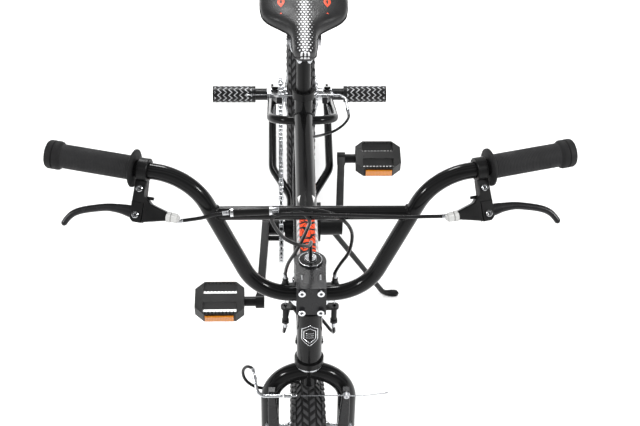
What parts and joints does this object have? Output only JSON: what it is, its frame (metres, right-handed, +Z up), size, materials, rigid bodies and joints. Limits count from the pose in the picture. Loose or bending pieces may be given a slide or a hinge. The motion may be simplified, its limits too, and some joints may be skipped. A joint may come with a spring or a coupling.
{
  "type": "bmx bicycle",
  "caption": "Freestyle BMX bicycle with high-rise handlebar and crossbar, cable rotor at the head tube, linear-pull brakes, rear foot pegs and a side stand.",
  "frame": {"origin": "on the ground, midway between the two axles, in the middle plane of the frame", "axes": "+X forward, +Y to the rider's left, +Z up"},
  "size_m": [1.458, 0.7168, 0.9387],
  "materials": {
    "frame_paint": "gloss black paint",
    "bar_paint": "gloss black paint",
    "fork_paint": "gloss black paint",
    "black_parts": "satin black",
    "rim_paint": "black with a lighter brake track",
    "tyre": "matt black rubber",
    "grip": "matt dark grey rubber",
    "steel": "bright zinc plated steel",
    "chrome": "polished",
    "alloy": "polished",
    "black_alloy": "black anodised",
    "pedal_plastic": "moulded black",
    "reflector": "amber prisms",
    "adjuster": "white",
    "saddle": "black cover with a silver dotted panel",
    "cable": "black cable jacket",
    "peg": "black knurled steel"
  },
  "bodies": {
    "frame": {"head_tube": "frame_paint", "top_tube": "frame_paint", "down_tube": "frame_paint", "seat_tube": "frame_paint", "bottom_bracket_shell": "frame_paint", "chain_stays": "frame_paint", "seat_stays": "frame_paint", "rear_dropouts": "frame_paint", "headset_cups": "black_parts", "bottom_bracket_cups": "steel", "seat_clamp": "black_parts", "seat_post": "black_parts", "saddle_rails": "steel", "saddle": "saddle", "rear_axle": "steel", "rear_pegs": "peg", "chain": "steel", "kickstand_bracket": "black_parts", "rotor_lower_plate": "black_parts", "rear_lower_cable": "cable"},
    "steering": {"fork": "fork_paint", "steerer": "fork_paint", "headset_races": "steel", "front_axle": "steel", "stem": "black_alloy", "stem_faceplate": "black_alloy", "stem_bolts": "chrome", "stem_cap": "chrome", "rotor_upper_plate": "black_parts", "handlebar": "bar_paint", "grips": "grip", "lever_brackets": "black_alloy", "cable_adjusters": "adjuster", "front_cable": "cable", "rear_upper_cable": "cable"},
    "front_wheel": {"front_tyre": "tyre", "front_rim": "rim_paint", "front_spokes": "steel", "front_hub": "alloy"},
    "rear_wheel": {"rear_tyre": "tyre", "rear_rim": "rim_paint", "rear_spokes": "steel", "rear_hub": "alloy"},
    "freewheel": {"freewheel": "steel"},
    "crankset": {"crank": "black_parts", "chainring": "black_parts", "pedal_spindles": "black_parts"},
    "right_pedal": {"pedal_right": "pedal_plastic", "reflectors_right": "reflector"},
    "left_pedal": {"pedal_left": "pedal_plastic", "reflectors_left": "reflector"},
    "left_lever": {"lever_left": "black_alloy"},
    "right_lever": {"lever_right": "black_alloy"},
    "front_left_arm": {"front_arm_left": "black_alloy"},
    "front_right_arm": {"front_arm_right": "black_alloy"},
    "rear_left_arm": {"rear_arm_left": "black_alloy"},
    "rear_right_arm": {"rear_arm_right": "black_alloy"},
    "stand": {"kickstand": "black_parts"},
    "upper_rotor": {"rotor_upper": "alloy"},
    "lower_rotor": {"rotor_lower": "alloy"}
  },
  "joints": [
    {"name": "steering_turn", "type": "hinge", "parent": "frame", "child": "steering", "pos_m": [0.33661, 0, 0.60963], "axis": [-0.2756, 0, 0.9613], "continuous": true},
    {"name": "front_wheel_spin", "type": "hinge", "parent": "steering", "child": "front_wheel", "pos_m": [0.475, 0, 0.254], "axis": [0, 1, 0], "continuous": true},
    {"name": "rear_wheel_spin", "type": "hinge", "parent": "frame", "child": "rear_wheel", "pos_m": [-0.475, 0, 0.254], "axis": [0, 1, 0], "continuous": true},
    {"name": "crank_turn", "type": "hinge", "parent": "frame", "child": "crankset", "pos_m": [-0.0976, 0, 0.2884], "axis": [0, 1, 0], "range_deg": [-40, 260], "deforming": ["chain"]},
    {"name": "freewheel_spin", "type": "hinge", "parent": "frame", "child": "freewheel", "pos_m": [-0.475, 0, 0.254], "axis": [0, 1, 0], "continuous": true},
    {"name": "right_pedal_spin", "type": "hinge", "parent": "crankset", "child": "right_pedal", "pos_m": [0.0724, -0.1535, 0.2884], "axis": [0, 1, 0], "continuous": true},
    {"name": "left_pedal_spin", "type": "hinge", "parent": "crankset", "child": "left_pedal", "pos_m": [-0.2676, 0.1535, 0.2884], "axis": [0, 1, 0], "continuous": true},
    {"name": "left_lever_pull", "type": "hinge", "parent": "steering", "child": "left_lever", "pos_m": [0.3253, 0.23291, 0.8803], "axis": [0.5892, 0.2036, 0.7819], "range_deg": [0, 22], "stiffness_Nm_per_rad": 0.5, "springref_deg": -5.73},
    {"name": "right_lever_pull", "type": "hinge", "parent": "steering", "child": "right_lever", "pos_m": [0.3253, -0.23291, 0.8803], "axis": [-0.5892, 0.2036, -0.7819], "range_deg": [0, 22], "stiffness_Nm_per_rad": 0.5, "springref_deg": -5.73},
    {"name": "front_left_arm_turn", "type": "hinge", "parent": "steering", "child": "front_left_arm", "pos_m": [0.41591, 0.052, 0.42015], "axis": [0.9613, 0, 0.2756], "range_deg": [0, 5.01], "deforming": ["front_cable"]},
    {"name": "front_right_arm_turn", "type": "hinge", "parent": "steering", "child": "front_right_arm", "pos_m": [0.41591, -0.052, 0.42015], "axis": [-0.9613, 0, -0.2756], "range_deg": [0, 5.01]},
    {"name": "rear_left_arm_turn", "type": "hinge", "parent": "frame", "child": "rear_left_arm", "pos_m": [-0.35479, 0.052, 0.38477], "axis": [0.638, 0, -0.77], "range_deg": [0, 5.01], "deforming": ["rear_lower_cable"]},
    {"name": "rear_right_arm_turn", "type": "hinge", "parent": "frame", "child": "rear_right_arm", "pos_m": [-0.35479, -0.052, 0.38477], "axis": [-0.638, 0, 0.77], "range_deg": [0, 5.01]},
    {"name": "stand_fold", "type": "hinge", "parent": "frame", "child": "stand", "pos_m": [-0.1276, 0.046, 0.2624], "axis": [0.1392, 0.8849, 0.4445], "range_deg": [0, 80]},
    {"name": "upper_rotor_slide", "type": "slide", "parent": "steering", "child": "upper_rotor", "axis": [-0.2756, 0, 0.9613], "range_m": [0, 0.00601], "deforming": ["rear_upper_cable"]},
    {"name": "lower_rotor_slide", "type": "slide", "parent": "frame", "child": "lower_rotor", "axis": [-0.2756, 0, 0.9613], "range_m": [0, 0.00601]}
  ],
  "couplings": [
    {"joint": "freewheel_spin", "follows": "crank_turn", "ratio": 2},
    {"joint": "front_left_arm_turn", "follows": "left_lever_pull", "ratio": 0.22727},
    {"joint": "front_right_arm_turn", "follows": "left_lever_pull", "ratio": 0.22727},
    {"joint": "rear_left_arm_turn", "follows": "right_lever_pull", "ratio": 0.22727},
    {"joint": "rear_right_arm_turn", "follows": "right_lever_pull", "ratio": 0.22727},
    {"joint": "upper_rotor_slide", "follows": "right_lever_pull", "m_per_rad": 0.015626},
    {"joint": "lower_rotor_slide", "follows": "right_lever_pull", "m_per_rad": 0.015626}
  ]
}
